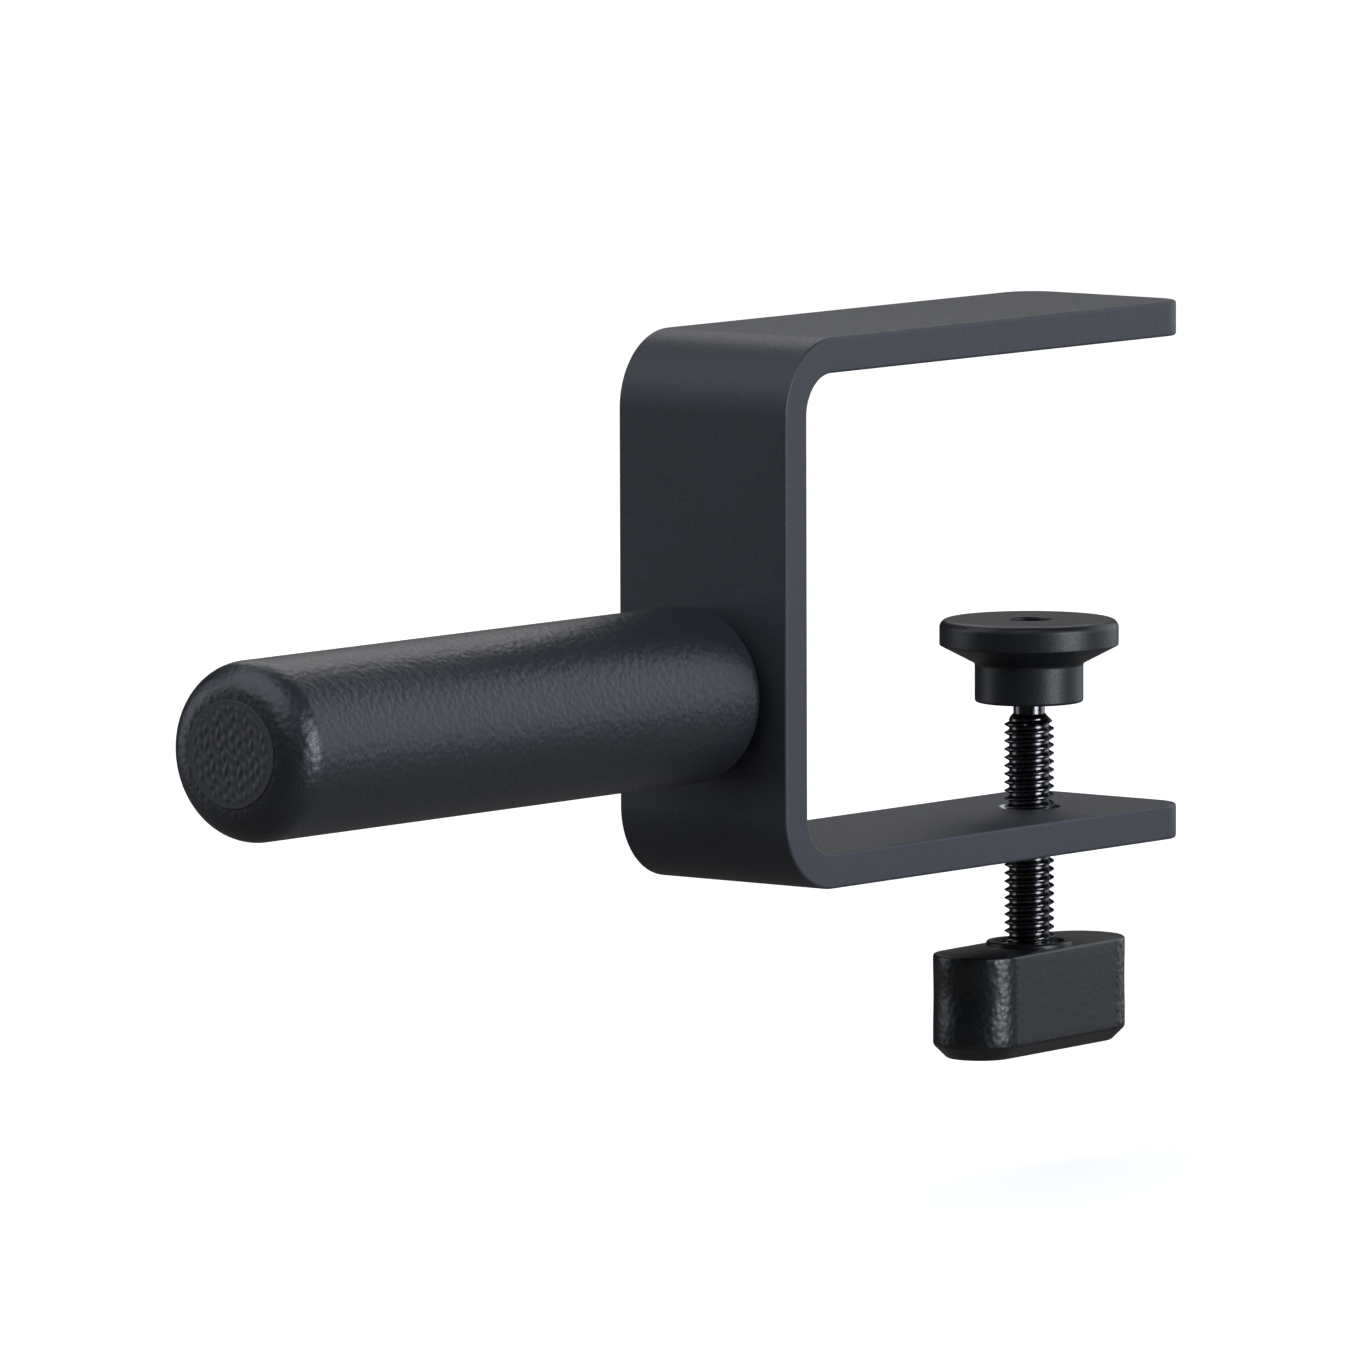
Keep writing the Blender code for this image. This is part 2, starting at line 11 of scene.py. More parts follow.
import bmesh
import bpy
from bpy.props import FloatProperty, FloatVectorProperty, IntProperty, PointerProperty
from mathutils import Matrix, Vector


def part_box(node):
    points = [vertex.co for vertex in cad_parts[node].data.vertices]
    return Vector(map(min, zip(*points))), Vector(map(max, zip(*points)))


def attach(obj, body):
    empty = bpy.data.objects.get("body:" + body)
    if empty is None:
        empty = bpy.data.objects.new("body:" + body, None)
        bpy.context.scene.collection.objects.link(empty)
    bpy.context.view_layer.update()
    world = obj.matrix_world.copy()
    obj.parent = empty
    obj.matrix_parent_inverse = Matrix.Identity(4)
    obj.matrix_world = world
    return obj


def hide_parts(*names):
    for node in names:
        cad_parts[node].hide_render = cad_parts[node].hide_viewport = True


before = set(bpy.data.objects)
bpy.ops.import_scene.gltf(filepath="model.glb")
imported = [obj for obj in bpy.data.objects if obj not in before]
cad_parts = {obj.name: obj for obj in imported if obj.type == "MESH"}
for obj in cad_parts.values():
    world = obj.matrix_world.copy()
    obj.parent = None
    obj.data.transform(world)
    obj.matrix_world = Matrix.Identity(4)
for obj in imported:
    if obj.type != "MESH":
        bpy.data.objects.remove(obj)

bl_info = {
    "name": "Headphone Hook",
    "version": (1, 0, 0),
    "blender": (4, 5, 0),
    "location": "3D View > Sidebar > Headphone Hook",
    "description": "Builds a desk-clamp headphone hook, piece by piece, round its packed frame",
    "category": "Object",
}

MM = 0.001
TINY = 1e-6
HAIR = 0.01 * MM  # A gap or a flat that is too small to see.
CREASE = math.radians(32.0)  # Faces that meet at more than this are shown with an edge.
NOISE_LOW, NOISE_HIGH = 0.3, 0.7  # Most of a noise's values lie between these.
UP, DOWN = (0.0, 0.0, 1.0), (0.0, 0.0, -1.0)
OUTWARD, INWARD = (-1.0, 0.0, 0.0), (1.0, 0.0, 0.0)  # Away from the desk, and towards it.

# Places of the pieces, from the frame.
BAR_LOW, BAR_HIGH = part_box("c_bracket")
SLEEVE_LOW, SLEEVE_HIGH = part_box("peg_sleeve")
DISC_LOW, DISC_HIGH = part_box("peg_end_disc")
GASKET_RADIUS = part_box("peg_gasket")[1].y
PEG_SCREW_LOW, PEG_SCREW_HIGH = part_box("peg_screw")
SCREW_LOW, SCREW_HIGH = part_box("clamp_screw")
PAD_LOW, PAD_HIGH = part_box("pressure_pad")
KNOB_LOW, KNOB_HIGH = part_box("knob")
INSERT_LOW, INSERT_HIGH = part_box("knob_insert")
PEG_Z = (SLEEVE_LOW.z + SLEEVE_HIGH.z) / 2
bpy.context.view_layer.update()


def length(name, description, default, most=0.2):
    """A length that a user can change."""
    return FloatProperty(
        name=name,
        description=description,
        default=default,
        min=0.0,
        max=most,
        precision=5,
        unit="LENGTH",
        subtype="DISTANCE",
    )


def colour(name, description, default):
    """A linear colour that a user can change."""
    return FloatVectorProperty(
        name=name, description=description, default=default, min=0.0, max=1.0, subtype="COLOR"
    )


def power(name, description, default):
    """The power of a light, in watts."""
    return FloatProperty(
        name=name, description=description, default=default, min=0.0, unit="POWER"
    )


class HookBarSettings(bpy.types.PropertyGroup):
    """Sizes and colour of the bent steel bar."""

    thickness: length("Thickness", "Thickness of the flat bar", 4.2 * MM)
    bend_radius: length("Bend radius", "Inside radius of the two bends", 4.8 * MM)
    corner_radius: length("Corner radius", "Radius of the arms' corners, seen from above", 4.5 * MM)
    edge_radius: length("Edge radius", "Rounding of the bar's long edges", 0.35 * MM)
    bore_radius: length("Bore radius", "Radius of the bore for the clamp screw", 3.3 * MM)
    bore_chamfer: length("Bore chamfer", "Chamfer at both ends of the bore", 0.5 * MM)
    bend_steps: IntProperty(
        name="Bend steps", description="Facets in each bend", default=32, min=4, max=64
    )
    coat: colour("Coat", "Colour of the powder coat", (0.032, 0.0345, 0.043))


class HookPegSettings(bpy.types.PropertyGroup):
    """Sizes and colours of the peg that carries the headphones."""

    rim_radius: length("Rim radius", "Rounding of the peg's front end", 4.1 * MM)
    base_radius: length("Base radius", "Rounding of the peg's end at the bar", 2.2 * MM)
    core_room: length("Core room", "Radius of the room for the core", 7.3 * MM)
    end_wall: length("End wall", "Thickness of the cover in front of the core", 4.7 * MM)
    badge_room: length("Badge room", "Radius of the recess for the badge", 6.3 * MM)
    badge_recess: length("Badge recess", "Depth of the recess for the badge", 1.1 * MM)
    badge_proud: length("Badge height", "How far the badge stands out of its recess", 0.12 * MM)
    emboss: length("Emboss", "Height of the badge's ripples", 0.15 * MM)
    rubber: colour("Rubber", "Colour of the peg's cover", (0.016, 0.018, 0.024))
    badge: colour("Badge", "Colour of the badge", (0.050, 0.051, 0.056))


class HookClampSettings(bpy.types.PropertyGroup):
    """Sizes and colours of the clamp screw and its pad."""

    pitch: length("Pitch", "Height of one turn of the thread", 1.0 * MM)
    crest_radius: length("Crest radius", "Outer radius of the thread", 3.0 * MM)
    root_radius: length("Root radius", "Inner radius of the thread", 2.42 * MM)
    neck_radius: length("Neck radius", "Radius of the plain neck above the thread", 1.9 * MM)
    head_radius: length("Head radius", "Radius of the head that carries the pad", 3.3 * MM)
    pad_rim: length("Pad rim", "Height of the pad's rim", 3.1 * MM)
    pad_cone: length("Pad cone", "Height of the cone under the pad's rim", 2.2 * MM)
    pad_hub: length("Pad hub", "Radius of the pad's hub", 6.55 * MM)
    pad_hole: length("Pad hole", "Radius of the hole in the pad's face", 2.65 * MM)
    pad_edge: length("Pad edge", "Rounding of the pad's upper edge", 1.0 * MM)
    plastic: colour("Pad plastic", "Colour of the pad", (0.014, 0.015, 0.018))
    steel: colour("Screw steel", "Colour of the blackened thread", (0.15, 0.15, 0.155))


class HookKnobSettings(bpy.types.PropertyGroup):
    """Sizes and colour of the clamp knob."""

    length: length("Length", "Length of the grip", 32.8 * MM)
    width: length("Width", "Width of the grip", 11.3 * MM)
    chamfer: length("Chamfer", "Chamfer along the lower edge", 1.65 * MM)
    top_radius: length("Top radius", "Rounding of the upper edge", 0.35 * MM)
    boss_radius: length("Boss radius", "Radius of the low boss round the screw", 5.2 * MM)
    scoop: length("Scoop", "Depth of the hollow in each end", 0.3 * MM)
    turn: FloatProperty(
        name="Turn",
        description="How far the grip is turned out of line with the arms at rest",
        default=math.radians(4.0),
        min=-math.pi,
        max=math.pi,
        unit="ROTATION",
        subtype="ANGLE",
    )
    plastic: colour("Plastic", "Colour of the grip", (0.006, 0.007, 0.008))


class HookStageSettings(bpy.types.PropertyGroup):
    """The floor, the lights and the camera."""

    floor_gap: length("Floor gap", "Room under the knob for the screw's travel", 13.5 * MM)
    key: power("Key light", "Power of the softbox in front", 7.2)
    side: power("Side light", "Power of the broad softbox beside it", 3.0)
    fill: power("Fill light", "Power of the broad high softbox on the other side", 7.2)
    edge: power("Edge light", "Power of the low softbox on the other side", 1.35)
    back: power("Back light", "Power of the high softbox behind the object", 1.75)
    backdrop: colour("Backdrop", "Colour of the floor and the backdrop", (1.0, 1.0, 1.0))
    azimuth: FloatProperty(
        name="Azimuth",
        description="Where the camera stands, round the object",
        default=math.radians(-51.450),
        unit="ROTATION",
        subtype="ANGLE",
    )
    elevation: FloatProperty(
        name="Elevation",
        description="How far the camera looks down",
        default=math.radians(5.817),
        unit="ROTATION",
        subtype="ANGLE",
    )
    roll: FloatProperty(
        name="Roll",
        description="How far the camera is tipped about its line of sight",
        default=math.radians(-0.168),
        unit="ROTATION",
        subtype="ANGLE",
    )
    distance: FloatProperty(
        name="Distance",
        description="From the camera to the point it aims at",
        default=2.000765,
        min=0.1,
        unit="LENGTH",
    )
    aim: FloatVectorProperty(
        name="Aim",
        description="The point that the camera aims at",
        default=(-0.068333, 0.0, -0.034432),
        subtype="XYZ",
        unit="LENGTH",
    )
    lens: FloatProperty(
        name="Lens",
        description="Focal length",
        default=455.49,
        min=1.0,
        unit="CAMERA",
    )


# Shapes.


def bevel(bm, edges, size, segments):
    """Rounds edges, or chamfers them when there is one segment."""
    bmesh.ops.bevel(
        bm,
        geom=edges,
        offset=size,
        offset_type="OFFSET",
        segments=segments,
        profile=0.5,
        affect="EDGES",
        clamp_overlap=True,
        material=-1,
    )


def sharp_edges(bm, degrees):
    """Edges whose two faces meet at more than an angle."""
    limit = math.radians(degrees)
    return [e for e in bm.edges if e.is_manifold and e.calc_face_angle() > limit]


def upright_edges(bm):
    """Edges along Z."""
    nearly = 0.999
    return [e for e in bm.edges if abs((e.verts[0].co - e.verts[1].co).normalized().z) > nearly]


def radius_of(vert):
    """How far a vertex is from the Z axis."""
    return math.hypot(vert.co.x, vert.co.y)


def ring_edges(bm, radius, height):
    """The edges round the Z axis at one radius and height."""

    def on_ring(vert):
        return abs(radius_of(vert) - radius) < TINY and abs(vert.co.z - height) < TINY

    return [e for e in bm.edges if all(on_ring(v) for v in e.verts)]


def turned(profile, rounds=(), steps=128):
    """A solid turned about Z from (radius, height) points, some of its corners then rounded.

    Each of rounds is the number of a point in the profile, a radius and a number of segments.
    """
    bm = bmesh.new()
    verts = [bm.verts.new((radius, 0.0, height)) for radius, height in profile]
    edges = [bm.edges.new(pair) for pair in zip(verts, verts[1:])]
    if profile[0][0] > 0.0:
        edges.append(bm.edges.new((verts[-1], verts[0])))
    bmesh.ops.spin(
        bm,
        geom=verts + edges,
        cent=(0.0, 0.0, 0.0),
        axis=(0.0, 0.0, 1.0),
        angle=2.0 * math.pi,
        steps=steps,
        use_merge=True,
    )
    bmesh.ops.remove_doubles(bm, verts=bm.verts, dist=TINY)
    for number, size, segments in rounds:
        bevel(bm, ring_edges(bm, *profile[number]), size, segments)
    return bm


def lay_along_x(bm, origin):
    """Turns a shape made along Z so that it points along X, and moves it into place."""
    turn = Matrix.Rotation(math.radians(90.0), 3, "Y")
    bmesh.ops.rotate(bm, cent=(0.0, 0.0, 0.0), matrix=turn, verts=bm.verts)
    bmesh.ops.translate(bm, vec=origin, verts=bm.verts)


def circle(bm, centre, radius, axis, steps=64):
    """The edges of a circle that faces along an axis."""
    turn = Vector(UP).rotation_difference(Vector(axis)).to_matrix().to_4x4()
    place = Matrix.Translation(centre) @ turn
    made = bmesh.ops.create_circle(
        bm, cap_ends=False, segments=steps, radius=radius, matrix=place
    )
    return list(dict.fromkeys(edge for vert in made["verts"] for edge in vert.link_edges))


def open_face(bm, face, edges):
    """Takes the outline that the edges make out of a flat face."""
    border = list(face.edges)
    normal = face.normal.copy()
    bmesh.ops.delete(bm, geom=[face], context="FACES_ONLY")
    bmesh.ops.triangle_fill(bm, use_beauty=True, edges=border + edges, normal=normal)


def join_rings(bm, rings):
    """The wall through a row of rings. Returns its faces."""
    faces = []
    for one, other in zip(rings, rings[1:]):
        faces += bmesh.ops.bridge_loops(bm, edges=one + other)["faces"]
    return faces


def flat_face(bm, normal, centre):
    """The largest flat face that looks along a normal in a plane through a point."""
    normal, centre = Vector(normal), Vector(centre)
    nearly = 0.9999
    found = [
        f
        for f in bm.faces
        if f.normal.dot(normal) > nearly
        and abs((f.verts[0].co - centre).dot(normal)) < 10 * TINY
    ]
    return max(found, key=lambda f: f.calc_area())


def draw(bm, face, path):
    """Pulls an end face along a straight stretch and returns the new end face."""
    made = bmesh.ops.extrude_face_region(bm, geom=[face])["geom"]
    verts = [v for v in made if isinstance(v, bmesh.types.BMVert)]
    bmesh.ops.translate(bm, verts=verts, vec=path)
    return next(f for f in made if isinstance(f, bmesh.types.BMFace))


def bend(bm, face, centre, steps):
    """Turns an end face through a right angle about an axis along Y and returns the new end."""
    made = bmesh.ops.spin(
        bm,
        geom=[face],
        cent=centre,
        axis=(0.0, 1.0, 0.0),
        angle=math.pi / 2,
        steps=steps,
    )["geom_last"]
    return next(f for f in made if isinstance(f, bmesh.types.BMFace))


def bent_bar(bar):
    """The flat bar: drawn straight from the lower arm's tip, bent twice, drawn to the upper tip."""
    bm = bmesh.new()
    tip = [
        bm.verts.new((BAR_HIGH.x, y, z))
        for y, z in (
            (BAR_LOW.y, BAR_LOW.z),
            (BAR_HIGH.y, BAR_LOW.z),
            (BAR_HIGH.y, BAR_LOW.z + bar.thickness),
            (BAR_LOW.y, BAR_LOW.z + bar.thickness),
        )
    ]
    front = bm.faces.new(tip)
    outer_bend = bar.bend_radius + bar.thickness
    straight_arm = BAR_HIGH.x - BAR_LOW.x - outer_bend
    straight_plate = BAR_HIGH.z - BAR_LOW.z - 2 * outer_bend
    bend_x = BAR_LOW.x + outer_bend
    for path, bend_z in (
        (Vector((-straight_arm, 0.0, 0.0)), BAR_LOW.z + outer_bend),
        (Vector((0.0, 0.0, straight_plate)), BAR_HIGH.z - outer_bend),
    ):
        front = draw(bm, front, path)
        front = bend(bm, front, (bend_x, 0.0, bend_z), bar.bend_steps)
    draw(bm, front, Vector((straight_arm, 0.0, 0.0)))
    inner = [f for f in bm.faces if all(len(e.link_faces) > 2 for e in f.edges)]
    bmesh.ops.delete(bm, geom=inner, context="FACES_ONLY")
    bmesh.ops.recalc_face_normals(bm, faces=bm.faces)
    return bm


# Finishes.


def add_node(tree, kind, inputs=None, **settings):
    """A shader node with its settings and the values of its inputs."""
    made = tree.nodes.new(kind)
    for name, value in settings.items():
        setattr(made, name, value)
    for name, value in (inputs or {}).items():
        made.inputs[name].default_value = value
    return made


def shade(rgb, factor):
    """A lighter or darker tone of a colour, with its alpha."""
    return (*(min(1.0, channel * factor) for channel in rgb), 1.0)


def mix_colours(tree, factor, low, high):
    """A colour that runs from low to high with a factor. Each is a value or a node's output."""
    made = add_node(tree, "ShaderNodeMix", data_type="RGBA")
    tree.links.new(factor, made.inputs["Factor"])
    for name, value in (("A", low), ("B", high)):
        socket = next(s for s in made.inputs if s.name == name and s.type == "RGBA")
        if isinstance(value, bpy.types.NodeSocket):
            tree.links.new(value, socket)
        else:
            socket.default_value = value
    return next(s for s in made.outputs if s.type == "RGBA")


def remap(tree, value, from_low, from_high, to_low, to_high):
    """A value carried from one range to another, and held inside it."""
    made = add_node(
        tree,
        "ShaderNodeMapRange",
        {"From Min": from_low, "From Max": from_high, "To Min": to_low, "To Max": to_high},
        clamp=True,
    )
    tree.links.new(value, made.inputs["Value"])
    return made.outputs["Result"]


def noise(tree, place, size, detail=2.0, roughness=0.5):
    """Noise whose features are about one size across."""
    made = add_node(
        tree,
        "ShaderNodeTexNoise",
        {"Scale": 1.0 / size, "Detail": detail, "Roughness": roughness},
    )
    tree.links.new(place, made.inputs["Vector"])
    return made.outputs["Fac"]


def pebbles(tree, place, size):
    """Rounded cells of about one size, low along the lines between them."""
    made = add_node(
        tree, "ShaderNodeTexVoronoi", {"Scale": 1.0 / size, "Smoothness": 0.6}, feature="SMOOTH_F1"
    )
    tree.links.new(place, made.inputs["Vector"])
    line = 0.8
    return remap(tree, made.outputs["Distance"], 0.0, line, 1.0, 0.0)


def raise_surface(tree, height, distance, under=None):
    """A bump of a height in metres, on top of another one if there is one."""
    made = add_node(tree, "ShaderNodeBump", {"Strength": 1.0, "Distance": distance})
    tree.links.new(height, made.inputs["Height"])
    if under:
        tree.links.new(under, made.inputs["Normal"])
    return made.outputs["Normal"]


def start_finish(name, roughness, metallic=0.0, specular=0.5):
    """A new material, with its node tree, its shader and where the pattern is read."""
    made = bpy.data.materials.new(name)
    made.use_nodes = True
    tree = made.node_tree
    shader = tree.nodes["Principled BSDF"]
    shader.inputs["Roughness"].default_value = roughness
    shader.inputs["Metallic"].default_value = metallic
    shader.inputs["Specular IOR Level"].default_value = specular
    place = add_node(tree, "ShaderNodeTexCoord").outputs["Object"]
    return made, tree, shader, place


def from_middle(tree, place, axis):
    """The distance from the middle along one axis."""
    across = add_node(tree, "ShaderNodeSeparateXYZ")
    tree.links.new(place, across.inputs["Vector"])
    apart = add_node(tree, "ShaderNodeMath", operation="ABSOLUTE")
    tree.links.new(across.outputs[axis], apart.inputs[0])
    return apart.outputs["Value"]


def grained_finish(name, rgb, roughness, grain, depth, specular=0.5, pebble=0.0, smooth_to=0.0):
    """A moulded surface: blotchy colour, and a fine grain in gloss and height.

    Pebbles can lie on the grain. They can fade out nearer than smooth_to to the middle, along X.
    """
    made, tree, shader, place = start_finish(name, roughness, specular=specular)
    blotches = noise(tree, place, size=9.0 * MM, detail=3.0)
    fine = noise(tree, place, size=grain, detail=3.0, roughness=0.6)
    tone = mix_colours(tree, blotches, shade(rgb, 0.86), shade(rgb, 1.14))
    speck = remap(tree, fine, NOISE_LOW, NOISE_HIGH, 0.0, 1.0)
    tone = mix_colours(tree, speck, shade(rgb, 0.88), tone)
    tree.links.new(tone, shader.inputs["Base Color"])
    gloss = remap(tree, fine, NOISE_LOW, NOISE_HIGH, roughness - 0.05, roughness + 0.06)
    tree.links.new(gloss, shader.inputs["Roughness"])
    normal = raise_surface(tree, fine, depth)
    if pebble:
        cells = pebbles(tree, place, size=grain * 2.5)
        if smooth_to:
            out = from_middle(tree, place, "X")
            faintest = 0.15
            fade = remap(tree, out, smooth_to - MM, smooth_to + MM, faintest, 1.0)
            faded = add_node(tree, "ShaderNodeMath", operation="MULTIPLY")
            tree.links.new(cells, faded.inputs[0])
            tree.links.new(fade, faded.inputs[1])
            cells = faded.outputs["Value"]
        normal = raise_surface(tree, cells, pebble, normal)
    tree.links.new(normal, shader.inputs["Normal"])
    return made


def coated_finish(name, rgb, half_width):
    """Powder coat: a fine dimpled skin, and a painted highlight on the bar's narrow sides and
    edges.
    """
    made, tree, shader, place = start_finish(name, roughness=0.5)
    blotches = noise(tree, place, size=14.0 * MM, detail=4.0)
    skin = noise(tree, place, size=0.42 * MM, detail=2.0, roughness=0.55)
    tone = mix_colours(tree, blotches, shade(rgb, 0.90), shade(rgb, 1.10))
    out = from_middle(tree, place, "Y")
    # Painted highlight: the coat is lightened on the bar's narrow sides and rounded edges, for the
    # light they catch.
    highlight_width, brightest_highlight = 0.5 * MM, 0.35
    edge = remap(tree, out, half_width - highlight_width, half_width, 0.0, brightest_highlight)
    tone = mix_colours(tree, edge, tone, shade(rgb, 1.8))
    tree.links.new(tone, shader.inputs["Base Color"])
    gloss = remap(tree, skin, NOISE_LOW, NOISE_HIGH, 0.44, 0.56)
    tree.links.new(gloss, shader.inputs["Roughness"])
    normal = raise_surface(tree, skin, distance=0.03 * MM)
    tree.links.new(normal, shader.inputs["Normal"])
    return made


def metal_finish(name, rgb, roughness):
    """Turned steel: fine uneven gloss and a trace of tool marks."""
    made, tree, shader, place = start_finish(name, roughness, metallic=1.0)
    fine = noise(tree, place, size=0.35 * MM, detail=4.0, roughness=0.6)
    tone = mix_colours(tree, fine, shade(rgb, 0.7), shade(rgb, 1.2))
    tree.links.new(tone, shader.inputs["Base Color"])
    gloss = remap(tree, fine, NOISE_LOW, NOISE_HIGH, roughness - 0.06, roughness + 0.08)
    tree.links.new(gloss, shader.inputs["Roughness"])
    normal = raise_surface(tree, fine, distance=0.006 * MM)
    tree.links.new(normal, shader.inputs["Normal"])
    return made


def add_piece(name, bm, finishes, body, node):
    """Makes a piece of a finished shape, in place of a node of the frame."""
    bmesh.ops.remove_doubles(bm, verts=bm.verts, dist=TINY / 10)
    bmesh.ops.recalc_face_normals(bm, faces=bm.faces)
    open_edges = [e for e in bm.edges if not e.is_manifold]
    if open_edges:
        raise RuntimeError(f"{name} isn't closed: {len(open_edges)} open edges")
    mesh = bpy.data.meshes.new(name)
    bm.to_mesh(mesh)
    bm.free()
    mesh.shade_smooth()
    mesh.set_sharp_from_angle(angle=CREASE)
    for finish in finishes:
        mesh.materials.append(finish)
    piece = bpy.data.objects.new(name, mesh)
    bpy.context.scene.collection.objects.link(piece)
    shading = piece.modifiers.new("even_shading", "WEIGHTED_NORMAL")
    shading.mode = "FACE_AREA"
    shading.keep_sharp = True
    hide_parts(node)
    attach(piece, body)
    return piece


# Operators, one for each piece.


class HOOK_OT_bracket(bpy.types.Operator):
    """Build the bent steel bar with its two holes"""

    bl_idname = "hook.bracket"
    bl_label = "Bracket"

    def execute(self, context):
        bar = context.scene.hook_bar
        bm = bent_bar(bar)
        tips = [
            e for e in upright_edges(bm) if min(v.co.x for v in e.verts) > BAR_HIGH.x - TINY
        ]
        bevel(bm, tips, bar.corner_radius, segments=16)
        bevel(bm, sharp_edges(bm, 40.0), bar.edge_radius, segments=4)
        self.cut_bore(bm, bar)
        self.cut_peg_hole(bm, bar)
        coat = coated_finish("powder_coat", bar.coat, BAR_HIGH.y)
        bare = metal_finish("tapped_edge", (0.42, 0.42, 0.43), roughness=0.26)
        add_piece("steel_bracket", bm, [coat, bare], "frame", "c_bracket")
        return {"FINISHED"}

    def cut_bore(self, bm, bar):
        """The bore for the clamp screw, with a bright chamfer at each end."""
        low, high = BAR_LOW.z, BAR_LOW.z + bar.thickness
        inside, wide = bar.bore_radius, bar.bore_radius + bar.bore_chamfer
        rings = [
            circle(bm, (0.0, 0.0, height), radius, UP)
            for radius, height in (
                (wide, high),
                (inside, high - bar.bore_chamfer),
                (inside, low + bar.bore_chamfer),
                (wide, low),
            )
        ]
        open_face(bm, flat_face(bm, UP, (0.0, 0.0, high)), rings[0])
        open_face(bm, flat_face(bm, DOWN, (0.0, 0.0, low)), rings[-1])
        for face in join_rings(bm, rings):
            face.material_index = 1

    def cut_peg_hole(self, bm, bar):
        """The hole for the peg's screw, countersunk from inside the bar."""
        outside, inside = BAR_LOW.x, BAR_LOW.x + bar.thickness
        hole, sink = 3.4 * MM, 6.47 * MM
        rings = [
            circle(bm, (x, 0.0, PEG_Z), radius, INWARD)
            for radius, x in ((hole, outside), (hole, inside - sink + hole), (sink, inside))
        ]
        open_face(bm, flat_face(bm, OUTWARD, (outside, 0.0, 0.0)), rings[0])
        open_face(bm, flat_face(bm, INWARD, (inside, 0.0, 0.0)), rings[-1])
        join_rings(bm, rings)


class HOOK_OT_peg_cover(bpy.types.Operator):
    """Build the peg's rubber cover"""

    bl_idname = "hook.peg_cover"
    bl_label = "Peg cover"

    def execute(self, context):
        peg = context.scene.hook_peg
        radius = SLEEVE_HIGH.y
        front = SLEEVE_LOW.x - SLEEVE_HIGH.x
        bm = turned(
            [
                (0.0, front + peg.end_wall),
                (peg.core_room, front + peg.end_wall),
                (peg.core_room, 0.0),
                (radius, 0.0),
                (radius, front),
                (peg.badge_room, front),
                (peg.badge_room, front + peg.badge_recess),
                (0.0, front + peg.badge_recess),
            ],
            rounds=[(2, 0.3 * MM, 2), (3, peg.base_radius, 12), (4, peg.rim_radius, 24)],
            steps=160,
        )
        lay_along_x(bm, (SLEEVE_HIGH.x, 0.0, PEG_Z))
        rubber = grained_finish(
            "peg_rubber",
            peg.rubber,
            roughness=0.40,
            grain=0.32 * MM,
            depth=0.040 * MM,
            specular=0.7,
            pebble=0.055 * MM,
        )
        add_piece("peg_cover", bm, [rubber], "frame", "peg_sleeve")
        return {"FINISHED"}


class HOOK_OT_peg_badge(bpy.types.Operator):
    """Build the rippled badge in the peg's end"""

    bl_idname = "hook.peg_badge"
    bl_label = "Peg badge"

    def execute(self, context):
        peg = context.scene.hook_peg
        gap = 0.03 * MM
        radius = peg.badge_room - gap
        depth = DISC_LOW.x - DISC_HIGH.x
        front = depth - peg.badge_proud
        rings = 64
        bm = turned(
            [
                (0.0, 0.0),
                (radius, 0.0),
                (radius, front),
                *((radius * (1.0 - i / rings), front) for i in range(1, rings + 1)),
            ],
            rounds=[(2, 0.1 * MM, 4)],
            steps=180,
        )
        for vert in bm.verts:
            if vert.co.z < front + TINY:
                vert.co.z -= self.ripple(vert.co, peg, radius)
        lay_along_x(bm, (DISC_HIGH.x, 0.0, PEG_Z))
        finish = grained_finish(
            "badge_rubber", peg.badge, roughness=0.52, grain=0.25 * MM, depth=0.02 * MM
        )
        add_piece("peg_badge", bm, [finish], "frame", "peg_end_disc")
        return {"FINISHED"}

    def ripple(self, place, peg, radius):
        """Height of the ripples at a place: broken waves that fade out before the badge's edge."""
        plain_edge, fade_width = 0.55 * MM, 0.5 * MM
        across, along = place.y / MM, place.x / MM
        sway = 1.3 * math.sin(1.7 * along + 0.9 * math.sin(1.1 * across))
        wave = 0.5 + 0.5 * math.sin(6.6 * across + 1.9 * along + sway)
        breaks = 0.5 + 0.5 * math.sin(4.3 * along + 2.1 * math.sin(2.9 * across + 0.6 * along))
        fade = min(1.0, max(0.0, (radius - plain_edge - place.xy.length) / fade_width))
        return peg.emboss * fade * wave * breaks


class HOOK_OT_peg_washer(bpy.types.Operator):
    """Build the washer squeezed between the peg and the bar"""

    bl_idname = "hook.peg_washer"
    bl_label = "Peg washer"

    def execute(self, context):
        radius, hole, rounding = GASKET_RADIUS, 3.3 * MM, 0.15 * MM
        thickness = BAR_LOW.x - SLEEVE_HIGH.x - 2 * HAIR
        bm = turned(
            [(hole, 0.0), (radius, 0.0), (radius, thickness), (hole, thickness)],
            rounds=[(1, rounding, 3), (2, rounding, 3)],
            steps=96,
        )
        lay_along_x(bm, (SLEEVE_HIGH.x + HAIR, 0.0, PEG_Z))
        rubber = grained_finish(
            "washer_rubber",
            (0.014, 0.014, 0.016),
            roughness=0.7,
            grain=0.5 * MM,
            depth=0.03 * MM,
        )
        add_piece("peg_washer", bm, [rubber], "frame", "peg_gasket")
        return {"FINISHED"}


